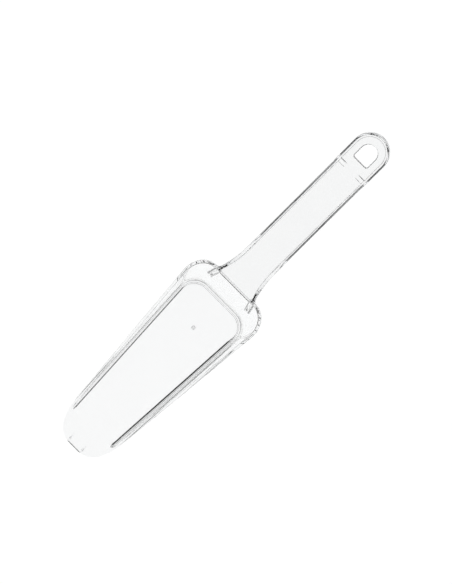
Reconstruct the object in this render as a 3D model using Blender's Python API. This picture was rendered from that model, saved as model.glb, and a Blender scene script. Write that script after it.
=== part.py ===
"""Clear plastic ice scoop: a flat-floored tapered bowl with a channel handle and a hanging eye.

The real scoop is one injection moulding. Here each wall of that moulding is its own closed solid, and
neighbouring walls keep a narrow seam between them. Metres, +Z up. The origin is at the middle of the
bounding box's base, so the floor's underside lies on Z = 0. The mouth faces -Y and the handle runs to +Y.
Left and right are the holder's, looking out over the mouth, so left is +X.
"""

import math

import bmesh
import bpy
from mathutils import Vector

# Overall
LENGTH = 0.250  # lip to the end of the eye, in plan
LIP_Y = -LENGTH / 2
END_Y = LENGTH / 2
SEAM = 0.0003  # between neighbouring walls of the moulding

# Bowl, measured on its outer faces
FLOOR_THICKNESS = 0.0024
WALL_THICKNESS = 0.0019
RIM_HEIGHT = 0.046  # at the back, where the handle starts
SIDE_DRAFT = math.tan(math.radians(4.2))  # outward lean of the side walls
FRONT_FLAT = 0.0045  # half width of the straight middle of the lip
FRONT_CURVE = 0.0215  # length of the rounded front, from the lip to the straight sides
FRONT_HALF_WIDTH = 0.0188  # of the base, where the straight sides start
BACK_HALF_WIDTH = 0.0239  # of the base, where the back corners start
BASE_CORNER_Y = -0.0130
BASE_BACK_Y = -0.0007
BASE_BACK_FLAT = 0.0114  # half width of the straight back, at the base
RIM_CORNER_Y = -0.0032
RIM_BACK_Y = 0.0105
RIM_BACK_FLAT = 0.0158  # half width of the straight back, at the rim
RIM_START_Y = -0.1100  # where the rim leaves the floor's level
RIM_POWER = 0.88  # below 1 the rim climbs fast at the front and eases towards the back
WALL_START_Y = RIM_START_Y + 0.0015  # the side walls start with a low blunt end
INNER_FILLET = 0.0013
OUTER_FILLET = 0.0018
FOOT_REACH = 0.0016  # from a wall's inner face to the edge of its foot, past the fillet

# Lip
LIP_EDGE = 0.0009  # thickness at the very front
LIP_SLOPE = math.tan(math.radians(12.0))
TAB_HALF_WIDTH = 0.0051  # the unbevelled middle of the lip

# Gate mark left under the floor by the mould's sprue
GATE_Y = -0.0252
GATE_RADIUS = 0.0015
GATE_DEPTH = 0.0003

# Handle: an inverted channel whose top face starts at the rim and climbs away from it
HANDLE_SLOPE = math.tan(math.radians(10.0))
WEB_THICKNESS = 0.0022
FLANGE_THICKNESS = 0.0019
ROOT_HALF_WIDTH = 0.0143
WAIST_HALF_WIDTH = 0.0110
FLARE_END_Y = 0.032
FLARE_POWER = 2.4
FOOT_FLARE = 0.37  # how fast the flanges keep spreading below the rim
ROOT_DEPTH = 0.0200  # of the flanges, below the top face
WAIST_DEPTH = 0.0078
DEEP_END_Y = 0.042  # the flanges have their waist depth from here
SWELL_START_Y = 0.095  # the handle widens a little from here to the eye
CHANNEL_END_Y = 0.1010
FOOT_LEAN = 0.35  # share of the flange along which it turns from the back wall's slope to upright

# Hanging eye: a thin plate inside a round bead
BEAD_THICKNESS = 0.0042
BEAD_WIDTH = 0.0021
BEAD_EDGE = 0.0019  # radius of its rounded edges
SEAM_WIDTH = 0.0004  # the bead has run out where the eye meets the channel
SEAM_EDGE = 0.0002
PLATE_STEP = 0.0004  # level width of the step from the bead up to the plate
EYE_HALF_WIDTH = 0.0113
HOLE_HALF_WIDTH = 0.0053
HOLE_FLAT_Y = 0.1069  # the straight end of the D
HOLE_CORNER = 0.0010

# Arched rib that closes the channel
RIB_THICKNESS = 0.0020
RIB_Y = CHANNEL_END_Y - RIB_THICKNESS
RIB_GAP = 0.0022  # half width of the middle, where the rib has all but run out
RIB_SIDE_DEPTH = BEAD_THICKNESS  # below the top face, beside the flanges
RIB_MIDDLE_DEPTH = 0.0029
RIB_POWER = 1.6

# Facets
ARC_STEPS = 3
CORNER_STEPS = 12
SIDE_STEPS = 20
FLOOR_STEPS = 10
LIP_STEPS = 14
HANDLE_STEPS = 24
RIB_STEPS = 16
EYE_ARC_STEPS = 18


# ------------------------------------------------------------------------------------------ shape rules
def clamp(value, low=0.0, high=1.0):
    return max(low, min(high, value))


def lerp(a, b, share):
    return a + (b - a) * share


FRONT_CENTRE_Y = LIP_Y + FRONT_CURVE
TAPER = (BACK_HALF_WIDTH - FRONT_HALF_WIDTH) / (BASE_CORNER_Y - FRONT_CENTRE_Y)


def side_x(y, z):
    """Half width of the side walls' outer faces."""
    return FRONT_HALF_WIDTH + (y - FRONT_CENTRE_Y) * TAPER + z * SIDE_DRAFT


def outline_x(y, z=0.0):
    """Half width of the bowl ahead of its back corners. The front is a quarter ellipse beside a flat."""
    ahead = clamp((FRONT_CENTRE_Y - y) / FRONT_CURVE)
    widest = side_x(max(y, FRONT_CENTRE_Y), z)
    return FRONT_FLAT + (widest - FRONT_FLAT) * math.sqrt(1 - ahead * ahead)


def back_y(z):
    """The back wall's outer face, which leans outwards."""
    return lerp(BASE_BACK_Y, RIM_BACK_Y, z / RIM_HEIGHT)


def corner_point(angle, z):
    """A point of a back corner, from the side wall at angle 0 to the back wall at a right angle."""
    share = z / RIM_HEIGHT
    start_y = lerp(BASE_CORNER_Y, RIM_CORNER_Y, share)
    flat = lerp(BASE_BACK_FLAT, RIM_BACK_FLAT, share)
    x = flat + (side_x(start_y, z) - flat) * math.cos(angle)
    y = start_y + (back_y(z) - start_y) * math.sin(angle)
    return Vector((x, y, z))


def corner_inward(angle, z):
    """The level direction into the bowl at a point of a back corner."""
    step = 1e-4
    along = corner_point(angle + step, z) - corner_point(angle - step, z)
    return Vector((-along.y, along.x, 0)).normalized()


def rim_z(y):
    """Height of the rim, measured along the bowl."""
    along = clamp((y - RIM_START_Y) / (RIM_BACK_Y - RIM_START_Y))
    return FLOOR_THICKNESS + (RIM_HEIGHT - FLOOR_THICKNESS) * along**RIM_POWER


def lip_z(x, y):
    """Top of the floor at the front, where a bevel runs round the lip."""
    across = max(0.0, abs(x) - FRONT_FLAT) / (FRONT_HALF_WIDTH - FRONT_FLAT)
    ahead = clamp((FRONT_CENTRE_Y - y) / FRONT_CURVE)
    from_edge = (1 - min(1.0, math.hypot(across, ahead))) * FRONT_CURVE
    return min(FLOOR_THICKNESS, LIP_EDGE + from_edge * LIP_SLOPE)


def top_z(y):
    """The handle's top face."""
    return RIM_HEIGHT + (y - RIM_BACK_Y) * HANDLE_SLOPE


def handle_x(y):
    """Half width of the handle: flared at the root, slimmest at the waist."""
    if y < RIM_BACK_Y:
        return ROOT_HALF_WIDTH + (RIM_BACK_Y - y) * FOOT_FLARE
    flare = clamp((FLARE_END_Y - y) / (FLARE_END_Y - RIM_BACK_Y)) ** FLARE_POWER
    swell = clamp((y - SWELL_START_Y) / (CHANNEL_END_Y - SWELL_START_Y)) ** 2
    return lerp(lerp(WAIST_HALF_WIDTH, EYE_HALF_WIDTH, swell), ROOT_HALF_WIDTH, flare)


def flange_depth(y):
    """How far the flanges reach below the top face."""
    root = clamp((DEEP_END_Y - y) / (DEEP_END_Y - RIM_BACK_Y)) ** 2
    end = clamp((y - DEEP_END_Y) / (CHANNEL_END_Y - DEEP_END_Y)) ** 3
    return lerp(lerp(WAIST_DEPTH, BEAD_THICKNESS, end), ROOT_DEPTH, root)


# ------------------------------------------------------------------------------------------ mesh helpers
def clear_plastic(name):
    """Clear, glossy polycarbonate."""
    material = bpy.data.materials.new(name)
    material.use_nodes = True
    shader = material.node_tree.nodes["Principled BSDF"]
    shader.inputs["Base Color"].default_value = (0.93, 0.94, 0.94, 1.0)
    shader.inputs["Roughness"].default_value = 0.06
    shader.inputs["Metallic"].default_value = 0.0
    shader.inputs["IOR"].default_value = 1.585
    shader.inputs["Transmission Weight"].default_value = 1.0
    return material


def loft(name, rings, closed=False):
    """A solid through rings of equal length, capped at both ends, or joined end to start when closed."""
    shape = bmesh.new()
    loops = [[shape.verts.new(point) for point in ring] for ring in rings]
    count = len(loops[0])
    pairs = list(zip(loops, loops[1:] + loops[:1]))
    for a, b in pairs if closed else pairs[:-1]:
        for i in range(count):
            j = (i + 1) % count
            shape.faces.new((a[i], a[j], b[j], b[i]))
    if not closed:
        shape.faces.new(loops[0])
        shape.faces.new(loops[-1])
    bmesh.ops.recalc_face_normals(shape, faces=shape.faces)
    mesh = bpy.data.meshes.new(name)
    shape.to_mesh(mesh)
    shape.free()
    mesh.shade_smooth()
    mesh.set_sharp_from_angle(angle=math.radians(30))
    mesh.materials.append(clear_plastic(name))
    made = bpy.data.objects.new(name, mesh)
    bpy.context.scene.collection.objects.link(made)
    return made


def mirrored(points):
    return [Vector((-p.x, p.y, p.z)) for p in points]


def arc(centre, start, end, steps=ARC_STEPS):
    """Points of a quarter turn about centre, from start to end."""
    a = start - centre
    b = end - centre
    turns = [math.pi / 2 * i / steps for i in range(steps + 1)]
    return [centre + a * math.cos(turn) + b * math.sin(turn) for turn in turns]


# ------------------------------------------------------------------------------------------ bowl walls
def wall_section(outer, inward):
    """One section of a bowl wall. outer(z) is its outer face, and inward(z) the level way into the bowl."""
    height = RIM_HEIGHT
    for _ in range(12):  # the wall leans, so its height depends on where its own top is
        height = rim_z(outer(height).y)
    inner_r = min(INNER_FILLET, 0.8 * (height - FLOOR_THICKNESS))
    outer_r = min(OUTER_FILLET, 0.5 * height)
    turns = [math.pi / 2 * i / ARC_STEPS for i in range(ARC_STEPS + 1)]

    def at(z, depth):
        return outer(z) + inward(z) * depth

    foot = at(FLOOR_THICKNESS, WALL_THICKNESS + FOOT_REACH)
    points = [foot]
    for turn in turns:
        rise = inner_r * (1 - math.cos(turn))
        points.append(at(FLOOR_THICKNESS + rise, WALL_THICKNESS + inner_r * (1 - math.sin(turn))))
    points += [at(height, WALL_THICKNESS), at(height, 0.0)]
    for turn in turns:
        points.append(at(outer_r * (1 - math.sin(turn)), outer_r * (1 - math.cos(turn))))
    points.append(Vector((foot.x, foot.y, 0)))
    return points


def side_section(share):
    """A section of the left side wall. Towards the back they lean more, to meet the corner's first one."""
    base_y = lerp(WALL_START_Y, BASE_CORNER_Y - SEAM, share)
    lean = share**4 * (RIM_CORNER_Y - BASE_CORNER_Y) / RIM_HEIGHT

    def outer(z):
        y = base_y + z * lean
        return Vector((outline_x(y, z), y, z))

    return wall_section(outer, lambda z: Vector((-1, 0, 0)))


def corner_section(angle):
    return wall_section(lambda z: corner_point(angle, z), lambda z: corner_inward(angle, z))


def make_side_walls():
    rings = [side_section((i / SIDE_STEPS) ** 1.5) for i in range(SIDE_STEPS + 1)]
    loft("bowl_left_wall", rings)
    loft("bowl_right_wall", [mirrored(ring) for ring in rings])


def make_back_wall():
    left = [corner_section(math.pi / 2 * i / CORNER_STEPS) for i in range(CORNER_STEPS + 1)]
    right = [mirrored(ring) for ring in reversed(left)]
    loft("bowl_back_wall", left + right)


# ------------------------------------------------------------------------------------------ floor
def floor_ring(y, half_width):
    """A crosswise section of the floor. Two close columns on each side make the tab's small steps."""
    tab = min(TAB_HALF_WIDTH, 0.8 * half_width)
    top = [(x, FLOOR_THICKNESS) for x in (0.0, tab / 2, tab - 0.0001)]
    top += [(x, lip_z(x, y)) for x in (lerp(tab, half_width, i / 6) for i in range(7))]
    right = [Vector((x, y, z)) for x, z in top]
    upper = list(reversed(mirrored(right[1:]))) + right
    return upper + [Vector((p.x, p.y, 0)) for p in reversed(upper)]


def cut_gate_mark(floor):
    bpy.ops.mesh.primitive_cylinder_add(
        vertices=24, radius=GATE_RADIUS, depth=2 * GATE_DEPTH, location=(0, GATE_Y, 0)
    )
    cutter = bpy.context.object
    cutter.name = "gate_mark_cutter"
    cutter.hide_render = True
    cutter.display_type = "WIRE"
    cut = floor.modifiers.new("gate_mark", "BOOLEAN")
    cut.object = cutter
    cut.solver = "EXACT"


def make_floor():
    reach = WALL_THICKNESS + FOOT_REACH + SEAM
    notch_y = WALL_START_Y - SEAM
    rings = []
    for i in range(LIP_STEPS + 1):
        y = lerp(LIP_Y, notch_y, (i / LIP_STEPS) ** 2)
        rings.append(floor_ring(y, outline_x(y)))
    for i in range(FLOOR_STEPS + 1):
        y = lerp(notch_y + 0.0001, BASE_CORNER_Y, (i / FLOOR_STEPS) ** 2)
        rings.append(floor_ring(y, outline_x(y, FLOOR_THICKNESS) - reach))
    for i in range(1, CORNER_STEPS + 1):
        angle = math.pi / 2 * i / CORNER_STEPS
        edge = corner_point(angle, FLOOR_THICKNESS) + corner_inward(angle, FLOOR_THICKNESS) * reach
        rings.append(floor_ring(edge.y, edge.x))
    cut_gate_mark(loft("bowl_floor", rings))


# ------------------------------------------------------------------------------------------ handle
def along_handle(share):
    """Where a section of the channel stands. The sections are closer together near the root."""
    return lerp(RIM_BACK_Y + SEAM, CHANNEL_END_Y, share**1.3)


def web_ring(y):
    """A crosswise section of the handle's top plate, its long edges rounded on top."""
    half = handle_x(y)
    r = WEB_THICKNESS / 2
    z = top_z(y)
    right = arc(Vector((half - r, y, z - r)), Vector((half - r, y, z)), Vector((half, y, z - r)))
    right.append(Vector((half, y, z - WEB_THICKNESS)))
    return right + list(reversed(mirrored(right)))


def flange_ring(share):
    """A section of the left flange. The first one leans with the back wall, the later ones stand upright."""
    y = along_handle(share)
    head = top_z(y) - WEB_THICKNESS - SEAM
    foot = top_z(y) - flange_depth(y)
    leaning = clamp(1 - share / FOOT_LEAN) ** 2
    heights = [lerp(head, foot, i / 4) for i in range(5)]

    def at(z, thickness):
        plan_y = y + leaning * (back_y(z) - back_y(RIM_HEIGHT))
        return Vector((handle_x(plan_y) - thickness, plan_y, z))

    return [at(z, 0.0) for z in heights] + [at(z, FLANGE_THICKNESS) for z in reversed(heights)]


def rib_ring(x, half):
    """An upright section of the end rib along the handle, at x across it."""
    arch = clamp((abs(x) - RIB_GAP) / (half - RIB_GAP)) ** RIB_POWER
    depth = lerp(RIB_MIDDLE_DEPTH, RIB_SIDE_DEPTH, arch)
    front, back = RIB_Y, RIB_Y + RIB_THICKNESS
    head = WEB_THICKNESS + SEAM
    corners = ((front, head), (back, head), (back, depth), (front, depth))
    return [Vector((x, y, top_z(y) - below)) for y, below in corners]


def make_handle():
    shares = [i / HANDLE_STEPS for i in range(HANDLE_STEPS + 1)]
    loft("handle_web", [web_ring(along_handle(share)) for share in shares])
    flange = [flange_ring(share) for share in shares]
    loft("handle_left_flange", flange)
    loft("handle_right_flange", [mirrored(ring) for ring in flange])
    half = handle_x(RIB_Y) - FLANGE_THICKNESS - SEAM
    loft("handle_end_rib", [rib_ring(lerp(-half, half, i / RIB_STEPS), half) for i in range(RIB_STEPS + 1)])


# ------------------------------------------------------------------------------------------ hanging eye
def half_d(half_width, flat_y, arc_y, corner):
    """The left half of a D in plan, from its straight end's middle to its tip, as (point, outward) pairs."""
    found = [(Vector((lerp(0, half_width - corner, i / 4), flat_y, 0)), Vector((0, -1, 0))) for i in range(4)]
    for i in range(5):
        turn = math.pi / 2 * i / 4
        outward = Vector((math.sin(turn), -math.cos(turn), 0))
        found.append((Vector((half_width - corner, flat_y + corner, 0)) + outward * corner, outward))
    for i in range(1, 4):
        found.append((Vector((half_width, lerp(flat_y + corner, arc_y, i / 4), 0)), Vector((1, 0, 0))))
    for i in range(EYE_ARC_STEPS + 1):
        turn = math.pi / 2 * i / EYE_ARC_STEPS
        outward = Vector((math.cos(turn), math.sin(turn), 0))
        found.append((Vector((0, arc_y, 0)) + outward * half_width, outward))
    return found


def eye_section(outer, hole_point, free):
    """A section of the eye from its edge to the hole. free is 1 on the bead and 0 where it has run out."""
    point, outward = outer
    edge = lerp(SEAM_EDGE, BEAD_EDGE, free)
    width = lerp(SEAM_WIDTH, BEAD_WIDTH, free)
    low = lerp(WEB_THICKNESS, BEAD_THICKNESS, free)

    def at(inset, depth):
        plan = point - outward * inset
        return Vector((plan.x, plan.y, top_z(plan.y) - depth))

    def hole_at(depth):
        return Vector((hole_point.x, hole_point.y, top_z(hole_point.y) - depth))

    ring = arc(at(edge, edge), at(edge, 0), at(0, edge))
    ring += arc(at(edge, low - edge), at(0, low - edge), at(edge, low))
    ring += [at(width, low), at(width + PLATE_STEP, WEB_THICKNESS)]
    return ring + [hole_at(WEB_THICKNESS), hole_at(0)]


def make_eye():
    arc_y = END_Y - EYE_HALF_WIDTH
    outer = half_d(EYE_HALF_WIDTH, CHANNEL_END_Y + SEAM, arc_y, HOLE_CORNER)
    hole = half_d(HOLE_HALF_WIDTH, HOLE_FLAT_Y, arc_y, HOLE_CORNER)
    left = []
    for edge_pair, (hole_point, _) in zip(outer, hole):
        free = clamp(edge_pair[1].y + 1)  # 0 on the straight end, 1 along the sides
        left.append(eye_section(edge_pair, hole_point, free))
    right = [mirrored(ring) for ring in reversed(left[1:-1])]
    loft("hanging_eye", left + right, closed=True)


def main():
    for old in list(bpy.data.objects):
        bpy.data.objects.remove(old)
    make_floor()
    make_side_walls()
    make_back_wall()
    make_handle()
    make_eye()


main()
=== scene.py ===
"""Look of the clear plastic ice scoop.

The real scoop is one seamless moulding, so its look is one closed surface that replaces all the parted
walls of the frame. The moulding is written as a field: a function of place that is negative inside the
plastic and rises by about one millimetre per millimetre. Its zero surface is meshed on a grid whose lines
follow the walls and lie closest where the shape is finest, and the vertices are then moved exactly onto
the surface. Lengths of the scoop are in millimetres, those of the studio in metres.
"""

import math

import bpy
import numpy as np
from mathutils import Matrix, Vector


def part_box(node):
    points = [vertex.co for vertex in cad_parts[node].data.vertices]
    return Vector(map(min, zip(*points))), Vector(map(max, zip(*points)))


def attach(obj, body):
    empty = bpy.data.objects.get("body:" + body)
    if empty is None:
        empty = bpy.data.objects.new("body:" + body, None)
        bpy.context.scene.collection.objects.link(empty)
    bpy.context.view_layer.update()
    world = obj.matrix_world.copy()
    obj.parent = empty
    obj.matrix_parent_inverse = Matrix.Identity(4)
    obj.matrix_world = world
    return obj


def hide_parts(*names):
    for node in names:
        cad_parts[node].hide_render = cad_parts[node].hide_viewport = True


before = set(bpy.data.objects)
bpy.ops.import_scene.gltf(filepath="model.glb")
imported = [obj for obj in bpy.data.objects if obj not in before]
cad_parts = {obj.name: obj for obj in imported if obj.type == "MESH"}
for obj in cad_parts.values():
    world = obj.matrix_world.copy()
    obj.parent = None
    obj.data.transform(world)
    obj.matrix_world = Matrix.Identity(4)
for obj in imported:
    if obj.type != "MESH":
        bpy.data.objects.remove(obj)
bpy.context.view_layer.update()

MM = 0.001


def node_box(node):
    """Lowest and highest corner of a frame node."""
    low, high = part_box(node)
    return low / MM, high / MM


# ------------------------------------------------------------------------------------ sizes, from the frame
FLOOR_LOW, FLOOR_HIGH = node_box("bowl_floor")
WALL_LOW, _ = node_box("bowl_left_wall")
BACK_LOW, BACK_HIGH = node_box("bowl_back_wall")
_, WEB_HIGH = node_box("handle_web")
RIB_LOW, RIB_HIGH = node_box("handle_end_rib")
_, EYE_HIGH = node_box("hanging_eye")

LIP_Y = FLOOR_LOW.y
FLOOR = FLOOR_HIGH.z
RIM_HEIGHT = BACK_HIGH.z
RIM_BACK_Y = BACK_HIGH.y
BASE_CORNER_Y = BACK_LOW.y
WALL_START_Y = WALL_LOW.y
END_Y = EYE_HIGH.y
EYE_HALF_WIDTH = EYE_HIGH.x
ARC_Y = END_Y - EYE_HALF_WIDTH  # centre of the eye's round end
RIB_Y = RIB_LOW.y
RIB_END_Y = RIB_HIGH.y
HANDLE_SLOPE = (WEB_HIGH.z - RIM_HEIGHT) / (WEB_HIGH.y - RIM_BACK_Y)

# Bowl
WALL = 1.9  # thickness
SIDE_DRAFT = math.tan(math.radians(4.2))
FRONT_FLAT = 4.5  # half-width of the straight middle of the lip, in plan
FRONT_CURVE = 21.5  # length of the round front
FRONT_HALF_WIDTH = 18.8  # outside, at the bottom
BACK_HALF_WIDTH = 23.9
BASE_BACK_Y = -0.7  # back of the bowl, at the bottom
BASE_BACK_FLAT = 11.4  # half-width of the back's straight middle, at the bottom
RIM_CORNER_Y = -3.2  # start of the back corners, at the rim
RIM_BACK_FLAT = 15.8
RIM_START_Y = WALL_START_Y - 1.5
RIM_POWER = 0.88
RIM_PITCH = math.radians(18.0)  # roughly how steep the rim is
RIM_EDGE = 0.3  # radius of the edges round the rim and the handle's top face
INNER_FILLET = 1.1
OUTER_FILLET = 0.5
LIP_UNDER_EDGE = 0.3
LIP_UNDER_END_Y = WALL_START_Y - 4.0  # the edge under the lip grows into the outer fillet from here
OUTER_FILLET_Y = WALL_START_Y + 6.0
FRONT_CENTRE_Y = LIP_Y + FRONT_CURVE
TAPER = (BACK_HALF_WIDTH - FRONT_HALF_WIDTH) / (BASE_CORNER_Y - FRONT_CENTRE_Y)

# Lip
LIP_EDGE = 0.9  # height of the lip's edge
LIP_SLOPE = math.tan(math.radians(12.0))
LIP_BEVEL_END_Y = WALL_START_Y + 2.0
TAB_HALF_WIDTH = 5.2  # at the lip
TAB_TAPER = 0.07
TAB_SIDE = 0.6  # width of the step at each side of the tab
TAB_LENGTH = 7.0
TAB_EDGE = 1.3  # radius under the tab's front edge
TAB_EDGE_INSET = 1.2  # this edge fades out between here and TAB_EDGE_END in from the tab's sides
TAB_EDGE_END = 0.4
TAB_EDGE_LENGTH = 2.0  # and between here and twice as far behind the lip

# Grooves in the underside
GROOVE_SLOPE = math.radians(47.0)  # of the flanks
GROOVE_EDGE = 0.08
GROOVE_INSET = 2.6  # from the outside of the wall
LEFT_GROOVE = 1.2  # half-widths. Left is +X, as in the frame
RIGHT_GROOVE = 0.6
BACK_GROOVE = 0.6
TAB_GROOVE = 0.6
DEEP = FLOOR / 2
SHALLOW = 0.35
GROOVE_START_Y = WALL_START_Y - 2.0
GROOVE_FULL_Y = WALL_START_Y + 1.0
SIDE_GROOVE_END_Y = BASE_CORNER_Y - 4.0
BACK_GROOVE_START_Y = BASE_CORNER_Y + 2.0
TAB_GROOVE_START = 1.2  # from the lip
TAB_GROOVE_FULL = 2.0

# Gate mark, a ring-shaped groove
GATE_Y = -25.2
GATE_RADIUS = 0.8
GATE_GROOVE = 0.45  # half-width

# Handle
WEB = 2.2  # thickness of the top
FLANGE = 1.9  # thickness of the sides
ROOT_HALF_WIDTH = 14.3
WAIST_HALF_WIDTH = 11.0
FLARE_END_Y = 32.0
FLARE_POWER = 2.4
FOOT_FLARE = 0.37  # sideways per length, going forwards from the rim's back
ROOT_DEPTH = 22.2  # of the flanges
WAIST_DEPTH = 7.8
DEEP_END_Y = 42.0
FLANGE_EDGE = 0.15
BEVEL = 0.75  # of the flange's width
BEAD_BEVEL = 0.68  # of the bead's width
ROOT_BEVEL_END_Y = 12.0
BEVEL_START_Y = 24.0
BEVEL_END_Y = 44.0
CHANNEL_FILLET = 0.6
ROOT_FILLET = 0.6  # under the web
FOOT_FILLET = 1.4  # round the flanges
SWELL_START_Y = 95.0
SWELL_END_Y = 102.0
BEAD_THICKNESS = 4.2
BEAD_WIDTH = 2.1
HOLE_HALF_WIDTH = 4.95
HOLE_FLAT_Y = 106.6
HOLE_ARC_Y = 112.9
HOLE_CHAMFER = 0.65  # on the underside
HOLE_CORNER = 1.0
HOLE_EDGE = 0.15
RIB_GAP = 2.2  # half-width of the open middle under the arch
RIB_POWER = 1.6
RIB_SIDE = 0.4

# Grid
FINEST = 0.18  # steps
FINE = 0.32
MEDIUM = 0.6
COARSE = 3.2
MARGIN = 1.0  # round the scoop
WIDENING_START = 8.0  # between these the lines come to lean outwards with the bowl's sides
WIDENING_END = 20.0
GRADIENT_STEP = 0.01
LEAST_SLOPE = 0.3  # of the field, when a vertex is moved
LONGEST_MOVE = FINE / 2

BOUNCES = 16
DIAGONAL = math.sqrt(0.5)


# ------------------------------------------------------------------------------------ field arithmetic
def lerp(a, b, share):
    return a + (b - a) * share


def share_of(value, start, end):
    """0 before start, 1 past end, straight between them."""
    return np.clip((value - start) / (end - start), 0.0, 1.0)


def eased(value, start, end):
    """The same, with a smooth start and end."""
    share = share_of(value, start, end)
    return share * share * (3.0 - 2.0 * share)


def both(a, b, radius):
    """Inside a and inside b, with a round edge of that radius where they meet."""
    past_a = np.maximum(a + radius, 0.0)
    past_b = np.maximum(b + radius, 0.0)
    return np.minimum(-radius, np.maximum(a, b)) + np.hypot(past_a, past_b)


def either(a, b, radius):
    """Inside a or inside b, with a fillet of that radius where they meet."""
    return -both(-a, -b, radius)


# ------------------------------------------------------------------------------------ bowl
def side_x(y, z):
    """Outside of the bowl's side walls."""
    return FRONT_HALF_WIDTH + (y - FRONT_CENTRE_Y) * TAPER + z * SIDE_DRAFT


def bowl_outline(x, y, z):
    """Distance outside the bowl's outer walls, in plan at this height."""
    share = np.clip(z / RIM_HEIGHT, 0.0, 1.0)
    corner_y = lerp(BASE_CORNER_Y, RIM_CORNER_Y, share)
    back_y = lerp(BASE_BACK_Y, RIM_BACK_Y, share)
    at_front = y < FRONT_CENTRE_Y
    flat = np.where(at_front, FRONT_FLAT, lerp(BASE_BACK_FLAT, RIM_BACK_FLAT, share))
    reach_x = side_x(np.clip(y, FRONT_CENTRE_Y, corner_y), z) - flat
    reach_y = np.where(at_front, FRONT_CURVE, back_y - corner_y)
    u = np.maximum(np.abs(x) - flat, 0.0) / reach_x
    v = np.where(at_front, FRONT_CENTRE_Y - y, np.maximum(y - corner_y, 0.0)) / reach_y
    radius = np.maximum(np.hypot(u, v), 1e-4)
    steepness = np.maximum(np.hypot(u / reach_x, v / reach_y) / radius, 1.0 / (reach_x + reach_y))
    return (radius - 1.0) / steepness


def rim_z(y):
    """Height of the rim: it rises from the floor, where the walls start, to the back of the bowl."""
    return FLOOR + (RIM_HEIGHT - FLOOR) * share_of(y, RIM_START_Y, RIM_BACK_Y) ** RIM_POWER


def floor_z(x, y):
    """Top of the floor: ahead of the walls a bevel runs round the lip, except on the tab in its middle."""
    bevel = np.minimum(FLOOR, LIP_EDGE - bowl_outline(x, y, 0.0) * LIP_SLOPE)
    tab = TAB_HALF_WIDTH - (y - LIP_Y) * TAB_TAPER
    on_bevel = eased(np.abs(x), tab - TAB_SIDE / 2, tab + TAB_SIDE / 2)
    return lerp(FLOOR, bevel, on_bevel * (1.0 - eased(y, RIM_START_Y, LIP_BEVEL_END_Y)))


def groove(across, half_width, depth, z):
    """Groove in the underside where across is near 0: a V, with a flat top where it would be deeper."""
    flanks = (np.abs(across) - half_width) * math.sin(GROOVE_SLOPE) + z * math.cos(GROOVE_SLOPE)
    return np.maximum(flanks, z - depth)


def wall_groove(x, y, z):
    """Groove under the inner foot of the walls: deep along the sides, shallow along the back."""
    at_back = eased(y, SIDE_GROOVE_END_Y, BACK_GROOVE_START_Y)
    half_width = lerp(np.where(x > 0.0, LEFT_GROOVE, RIGHT_GROOVE), BACK_GROOVE, at_back)
    half_width = half_width * eased(y, GROOVE_START_Y, GROOVE_FULL_Y)
    return groove(bowl_outline(x, y, 0.0) + GROOVE_INSET, half_width, lerp(DEEP, SHALLOW, at_back), z)


def tab_groove(x, y, z):
    """Groove under each side of the tab, wider towards the lip."""
    from_lip = y - LIP_Y
    grown = eased(from_lip, TAB_GROOVE_START, TAB_GROOVE_FULL)
    left = 1.0 - share_of(from_lip, TAB_GROOVE_FULL, TAB_LENGTH)
    half_width = TAB_GROOVE * grown * left
    return groove(np.abs(x) - TAB_HALF_WIDTH + from_lip * TAB_TAPER, half_width, SHALLOW, z)


def gate_mark(x, y, z):
    return groove(np.hypot(x, y - GATE_Y) - GATE_RADIUS, GATE_GROOVE, SHALLOW, z)


def bottom_edge(x, y):
    """Radius of the edge between the bowl's outline and its underside."""
    beside_tab = eased(np.abs(x), TAB_HALF_WIDTH - TAB_EDGE_INSET, TAB_HALF_WIDTH - TAB_EDGE_END)
    behind_lip = eased(y, LIP_Y + TAB_EDGE_LENGTH, LIP_Y + 2 * TAB_EDGE_LENGTH)
    at_tab = (1.0 - beside_tab) * (1.0 - behind_lip)
    edge = lerp(LIP_UNDER_EDGE, OUTER_FILLET, eased(y, LIP_UNDER_END_Y, OUTER_FILLET_Y))
    return lerp(edge, TAB_EDGE, at_tab)


def bowl_field(x, y, z, handle):
    """The bowl with the handle filleted to its outside. Its walls run on above the rim."""
    outline = bowl_outline(x, y, z)
    at_flange = eased(np.abs(x), ROOT_HALF_WIDTH - 2 * FLANGE, ROOT_HALF_WIDTH - FLANGE)
    block = both(outline, -z, bottom_edge(x, y))
    block = either(block, handle, lerp(ROOT_FILLET, FOOT_FILLET, at_flange))
    open_plan = either(outline + WALL, y - WALL_START_Y, RIM_EDGE)
    cavity = both(open_plan, floor_z(x, y) - z, INNER_FILLET)
    cuts = np.minimum(np.minimum(wall_groove(x, y, z), tab_groove(x, y, z)), gate_mark(x, y, z))
    return both(both(block, -cavity, RIM_EDGE), -cuts, GROOVE_EDGE)


# ------------------------------------------------------------------------------------ handle
def top_z(y):
    return RIM_HEIGHT + (y - RIM_BACK_Y) * HANDLE_SLOPE


def handle_outline(x, y):
    """Distance outside the handle in plan, round its end too."""
    flare = share_of(y, FLARE_END_Y, RIM_BACK_Y) ** FLARE_POWER
    foot = np.maximum(RIM_BACK_Y - y, 0.0) * FOOT_FLARE
    waist = lerp(WAIST_HALF_WIDTH, EYE_HALF_WIDTH, eased(y, SWELL_START_Y, SWELL_END_Y))
    half = lerp(waist, ROOT_HALF_WIDTH, flare) + foot
    return np.where(y > ARC_Y, np.hypot(x, y - ARC_Y) - EYE_HALF_WIDTH, np.abs(x) - half)


def flange_depth(y):
    """From the handle's top face to the bottom of its flanges: deepest at the root, least at the eye."""
    root = share_of(y, DEEP_END_Y, RIM_BACK_Y) ** 2
    end = share_of(y, DEEP_END_Y, RIB_END_Y) ** 3
    return WAIST_DEPTH + (ROOT_DEPTH - WAIST_DEPTH) * root + (BEAD_THICKNESS - WAIST_DEPTH) * end


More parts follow.
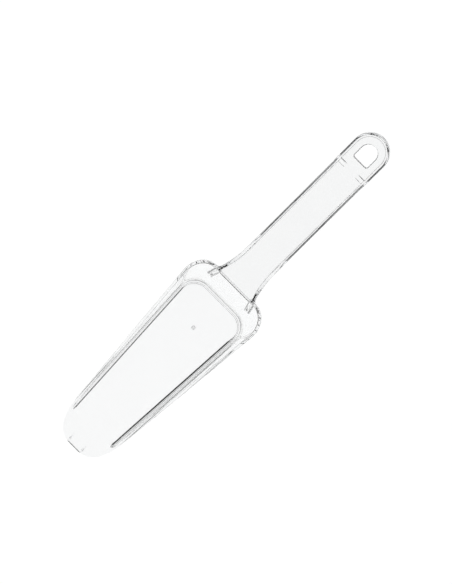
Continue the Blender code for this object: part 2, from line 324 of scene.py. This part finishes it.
def hollow_depth(x, y):
    """How deep under the top face the handle's hollow starts: the web's thickness, or more at the rib."""
    inner_half = WAIST_HALF_WIDTH - FLANGE
    arch = share_of(np.abs(x), RIB_GAP, inner_half) ** RIB_POWER
    at_rib = eased(y, RIB_Y - RIB_SIDE, RIB_Y) * (1.0 - eased(y, RIB_END_Y, RIB_END_Y + RIB_SIDE))
    return WEB + (BEAD_THICKNESS - WEB) * arch * at_rib


def handle_field(x, y, z):
    """The handle, with sides that run on above its top face and bevels along the flanges' bottom edges."""
    plan = handle_outline(x, y)
    top = top_z(y)
    at_eye = eased(y, SWELL_START_Y, SWELL_END_Y)
    width = lerp(FLANGE, BEAD_WIDTH, at_eye)
    bottom = top - flange_depth(y)
    bevelled = eased(y, BEVEL_START_Y, BEVEL_END_Y) + 1.0 - eased(y, RIM_BACK_Y, ROOT_BEVEL_END_Y)
    bevel = lerp(BEVEL, BEAD_BEVEL, at_eye) * width * bevelled
    cut = (plan + bevel - (z - bottom)) * DIAGONAL
    solid = both(both(plan, bottom - z, FLANGE_EDGE), cut, FLANGE_EDGE)
    hollow = both(plan + width, z - top + hollow_depth(x, y), CHANNEL_FILLET)
    return both(solid, -hollow, FLANGE_EDGE)


def hole_field(x, y, z):
    """The D-shaped hole, with a 45 degree chamfer on the underside."""
    above = z - top_z(y) + WEB
    hole = np.where(y > HOLE_ARC_Y, np.hypot(x, y - HOLE_ARC_Y), np.abs(x)) - HOLE_HALF_WIDTH
    hole = both(hole, HOLE_FLAT_Y - y, HOLE_CORNER)
    return np.minimum(hole, (hole + above - HOLE_CHAMFER) * DIAGONAL)


def top_field(y, z):
    """Distance above the rim of the bowl, and above the handle's top face behind it."""
    rim = np.maximum(rim_z(y), FLOOR + RIM_EDGE)
    over_rim = (z - rim) * math.cos(RIM_PITCH)
    over_handle = (z - top_z(y)) * math.cos(math.atan(HANDLE_SLOPE))
    return np.where(y < RIM_BACK_Y, over_rim, over_handle)


def scoop_field(x, y, z):
    """The whole moulding. The handle reaches to the middle of the bowl's wall."""
    into_wall = -(bowl_outline(x, y, z) + WALL / 2)
    handle = np.maximum(handle_field(x, y, z), np.maximum(into_wall, BASE_CORNER_Y - y))
    scoop = both(bowl_field(x, y, z, handle), top_field(y, z), RIM_EDGE)
    return both(scoop, -hole_field(x, y, z), HOLE_EDGE)


# ------------------------------------------------------------------------------------ meshing
def graded(start, stretches):
    """Grid lines from start on, through stretches that each have an end and a step."""
    lines = [start]
    for end, step in stretches:
        count = max(1, round((end - lines[-1]) / step))
        lines += list(np.linspace(lines[-1], end, count + 1)[1:])
    return np.array(lines)


def grid_corners():
    """Corners of the grid. Its lines run along the bowl's sides and along the handle's top face."""
    half = graded(0.0, [
        (2.0, FINE),  # gate mark
        (TAB_HALF_WIDTH - 1.0, 1.5 * FINE),
        (TAB_HALF_WIDTH + 1.0, FINEST),  # sides of the tab and of the hanging hole
        (EYE_HALF_WIDTH + 0.3, FINE),  # flanges and bead
        (BACK_HALF_WIDTH - 3.6, 1.5 * FINE),
        (BACK_HALF_WIDTH - 1.6, FINEST),  # grooves under the side walls
        (BACK_HALF_WIDTH + 0.4, 1.5 * FINEST),
        (BACK_HIGH.x + MARGIN, MEDIUM),
    ])
    along = graded(LIP_Y - MARGIN, [
        (LIP_Y + 3.0, FINE),  # lip
        (LIP_Y + TAB_LENGTH, 1.5 * FINE),
        (RIM_START_Y - 1.0, MEDIUM),
        (WALL_START_Y + 3.0, FINE),  # front ends of the walls
        (GATE_Y - 1.6, COARSE),
        (GATE_Y + 1.6, FINE),  # gate mark
        (BASE_CORNER_Y - 1.0, COARSE),
        (BASE_BACK_Y - 5.0, MEDIUM),
        (BASE_BACK_Y - 1.5, FINE),  # groove under the back wall
        (RIM_BACK_Y - 2.6, MEDIUM),
        (RIM_BACK_Y + 0.5, FINE),  # back of the rim
        (RIM_BACK_Y + 3.5, MEDIUM),
        (FLARE_END_Y, 2 * MEDIUM),
        (SWELL_START_Y, COARSE),
        (RIB_Y - 0.8, MEDIUM),
        (RIB_END_Y + 0.8, FINE),  # rib
        (HOLE_FLAT_Y - 1.0, MEDIUM),
        (HOLE_FLAT_Y + 1.5, FINE),  # straight end of the hanging hole
        (HOLE_ARC_Y, MEDIUM),
        (END_Y + 0.3, FINE),  # round end of the hole and of the eye
        (END_Y + MARGIN, MARGIN),
    ])
    up = graded(-MARGIN, [
        (0.0, MARGIN),
        (1.4, 0.8 * FINEST),  # grooves in the underside
        (FLOOR + 0.6, FINEST),  # top of the floor
        (RIM_HEIGHT - ROOT_DEPTH - 2.0, 0.75 * COARSE),
        (RIM_HEIGHT - ROOT_DEPTH + 4.0, MEDIUM),  # bottom of the flanges at the root
        (RIM_HEIGHT - WAIST_DEPTH - 5.0, 2 * MEDIUM),
        (RIM_HEIGHT - BEAD_THICKNESS - 0.6, MEDIUM),  # bottom of the flanges further out
        (RIM_HEIGHT + 0.3, FINE),  # rim, web and eye
        (RIM_HEIGHT + MARGIN, MARGIN),
    ])
    both_sides = np.concatenate([-half[:0:-1], half])
    across, y, height = np.meshgrid(both_sides, along, up, indexing="ij")
    at_sides = 1.0 - eased(y, BASE_CORNER_Y, RIM_BACK_Y)
    widening = side_x(np.clip(y, FRONT_CENTRE_Y, BASE_CORNER_Y), height * at_sides) - BACK_HALF_WIDTH
    x = across + np.sign(across) * widening * share_of(np.abs(across), WIDENING_START, WIDENING_END)
    z = height + np.maximum(y - RIM_BACK_Y, 0.0) * HANDLE_SLOPE
    return np.stack([x, y, z], axis=-1)


def surface_net(grid):
    """Vertices and quads of the field's zero surface.

    Each grid edge that the surface crosses gives a point on it, and a quad between the four cells round
    that edge. A cell's vertex is the mean of the points on its edges.
    """
    values = scoop_field(grid[..., 0], grid[..., 1], grid[..., 2])
    cells = tuple(n - 1 for n in values.shape)
    total = np.zeros(cells + (3,))
    count = np.zeros(cells)
    inside = values < 0
    quads = []
    numbers = np.arange(np.prod(cells)).reshape(cells)
    for axis in range(3):
        lower = [slice(None)] * 3
        upper = [slice(None)] * 3
        lower[axis] = slice(None, -1)
        upper[axis] = slice(1, None)
        lower = tuple(lower)
        upper = tuple(upper)
        crossed = inside[lower] != inside[upper]
        where = np.argwhere(crossed)
        a = values[lower][crossed]
        b = values[upper][crossed]
        start = grid[lower][crossed]
        end = grid[upper][crossed]
        points = lerp(start, end, (a / (a - b))[:, None])
        first, second = [k for k in range(3) if k != axis]
        corners = []
        for back_first, back_second in ((1, 1), (0, 1), (0, 0), (1, 0)):
            cell = where.copy()
            cell[:, first] -= back_first
            cell[:, second] -= back_second
            np.add.at(total, tuple(cell.T), points)
            np.add.at(count, tuple(cell.T), 1)
            corners.append(numbers[tuple(cell.T)])
        loops = np.stack(corners, axis=1)
        flip = (a < 0) == (axis == 1)
        loops[flip] = loops[flip][:, ::-1]
        quads.append(loops)
    quads = np.concatenate(quads)
    used = np.unique(quads)
    new_number = np.full(np.prod(cells), -1)
    new_number[used] = np.arange(len(used))
    vertices = total.reshape(-1, 3)[used] / count.reshape(-1)[used, None]
    return vertices, new_number[quads]


def slope_at(points):
    """Field values and gradients at these points."""
    x, y, z = points.T
    gradient = np.empty_like(points)
    for axis in range(3):
        shift = np.zeros(3)
        shift[axis] = GRADIENT_STEP
        ahead = scoop_field(x + shift[0], y + shift[1], z + shift[2])
        behind = scoop_field(x - shift[0], y - shift[1], z - shift[2])
        gradient[:, axis] = (ahead - behind) / (2 * GRADIENT_STEP)
    return scoop_field(x, y, z), gradient


def onto_surface(points, rounds=4):
    """The points, moved along the field's gradient to where its value is 0."""
    for _ in range(rounds):
        value, gradient = slope_at(points)
        length = np.maximum(np.linalg.norm(gradient, axis=1), LEAST_SLOPE)
        move = np.clip(value / length, -LONGEST_MOVE, LONGEST_MOVE)
        points = points - gradient / length[:, None] * move[:, None]
    return points


def make_moulding():
    """The scoop's mesh, with normals from the field so that its facets don't show in the refraction."""
    vertices, quads = surface_net(grid_corners())
    vertices = onto_surface(vertices)
    _, gradient = slope_at(vertices)
    normals = gradient / np.linalg.norm(gradient, axis=1)[:, None]
    mesh = bpy.data.meshes.new("moulding")
    mesh.from_pydata((vertices * MM).tolist(), [], quads.tolist())
    mesh.update()
    mesh.shade_smooth()
    mesh.normals_split_custom_set_from_vertices(normals.tolist())
    made = bpy.data.objects.new("moulding", mesh)
    bpy.context.scene.collection.objects.link(made)
    return made


# ------------------------------------------------------------------------------------ materials
def new_material(name):
    material = bpy.data.materials.new(name)
    material.use_nodes = True
    return material, material.node_tree.nodes["Principled BSDF"]


def add_noise(material, scale, detail):
    """Socket with a noise that is fixed to the object."""
    tree = material.node_tree
    place = tree.nodes.new("ShaderNodeTexCoord")
    noise = tree.nodes.new("ShaderNodeTexNoise")
    noise.inputs["Scale"].default_value = scale
    noise.inputs["Detail"].default_value = detail
    tree.links.new(place.outputs["Object"], noise.inputs["Vector"])
    return noise.outputs["Fac"]


def add_mix(material, share, first, second):
    """Socket with a colour between the two."""
    tree = material.node_tree
    mix = tree.nodes.new("ShaderNodeMix")
    mix.data_type = "RGBA"
    mix.inputs["A"].default_value = first
    mix.inputs["B"].default_value = second
    tree.links.new(share, mix.inputs["Factor"])
    return mix.outputs["Result"]


def clear_plastic():
    """Polished clear polycarbonate: faint swirl in the surface, slightly uneven gloss."""
    material, shader = new_material("clear_plastic")
    tree = material.node_tree
    shader.inputs["Transmission Weight"].default_value = 1.0
    shader.inputs["IOR"].default_value = 1.585
    cloud = add_noise(material, scale=60.0, detail=3.0)
    tint = add_mix(material, cloud, (0.955, 0.962, 0.965, 1.0), (0.975, 0.98, 0.98, 1.0))
    tree.links.new(tint, shader.inputs["Base Color"])
    gloss = tree.nodes.new("ShaderNodeMapRange")
    gloss.inputs["To Min"].default_value = 0.0
    gloss.inputs["To Max"].default_value = 0.03
    tree.links.new(cloud, gloss.inputs["Value"])
    tree.links.new(gloss.outputs["Result"], shader.inputs["Roughness"])
    bump = tree.nodes.new("ShaderNodeBump")
    bump.inputs["Strength"].default_value = 0.05
    bump.inputs["Distance"].default_value = 0.0005
    tree.links.new(add_noise(material, scale=35.0, detail=1.0), bump.inputs["Height"])
    tree.links.new(bump.outputs["Normal"], shader.inputs["Normal"])
    return material


def pale_floor():
    """White sweep that glows evenly, like a light table, and takes a little soft light from above."""
    material, shader = new_material("pale_floor")
    cloud = add_noise(material, scale=4.0, detail=2.0)
    shade = add_mix(material, cloud, (0.30, 0.30, 0.30, 1.0), (0.31, 0.31, 0.31, 1.0))
    material.node_tree.links.new(shade, shader.inputs["Base Color"])
    material.node_tree.links.new(shade, shader.inputs["Emission Color"])
    shader.inputs["Emission Strength"].default_value = 3.2
    shader.inputs["Roughness"].default_value = 0.9
    shader.inputs["Specular IOR Level"].default_value = 0.0
    return material


# ------------------------------------------------------------------------------------ studio
def make_floor():
    bpy.ops.mesh.primitive_plane_add(size=6.0, location=(0, 0, -0.0002))
    floor = bpy.context.object
    floor.name = "studio_floor"
    floor.data.materials.append(pale_floor())


def make_world():
    """Light by height above the horizon only: a pale glow low down, dark above it, soft light overhead."""
    world = bpy.data.worlds.new("studio")
    world.use_nodes = True
    bpy.context.scene.world = world
    nodes = world.node_tree.nodes
    links = world.node_tree.links
    place = nodes.new("ShaderNodeTexCoord")
    split = nodes.new("ShaderNodeSeparateXYZ")
    links.new(place.outputs["Generated"], split.inputs["Vector"])
    ramp = nodes.new("ShaderNodeValToRGB")
    links.new(split.outputs["Z"], ramp.inputs["Fac"])
    stops = ((0.0, 0.3), (0.03, 0.25), (0.07, 0.04), (0.5, 0.04), (0.8, 0.25))  # height, level
    band = ramp.color_ramp
    while len(band.elements) < len(stops):
        band.elements.new(0.5)
    for element, (height, level) in zip(band.elements, stops):
        element.position = height
        element.color = (level, level, level, 1.0)
    background = nodes["Background"]
    background.inputs["Strength"].default_value = 1.0
    links.new(ramp.outputs["Color"], background.inputs["Color"])


def make_camera():
    """Straight down over the scoop, turned so that the handle points to the upper right."""
    distance = 0.95
    frame_height = 0.3454  # what the picture's height covers at the scoop's foot
    turn = math.radians(45.17)
    data = bpy.data.cameras.new("camera")
    data.sensor_fit = "VERTICAL"
    data.sensor_height = 24.0
    data.lens = data.sensor_height * distance / frame_height
    camera = bpy.data.objects.new("camera", data)
    camera.location = (-0.0013, 0.0033, distance)
    camera.rotation_euler = (0.0, 0.0, turn)
    bpy.context.scene.collection.objects.link(camera)
    bpy.context.scene.camera = camera


def let_light_through():
    """Light is reflected many times inside a clear wall, and too few bounces turn its edges black."""
    cycles = bpy.context.scene.cycles
    cycles.max_bounces = BOUNCES
    cycles.glossy_bounces = BOUNCES
    cycles.transmission_bounces = BOUNCES


def main():
    moulding = make_moulding()
    moulding.data.materials.append(clear_plastic())
    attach(moulding, "root")
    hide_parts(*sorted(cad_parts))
    make_floor()
    make_world()
    make_camera()
    let_light_through()
    bpy.context.scene.view_settings.view_transform = "Standard"


main()
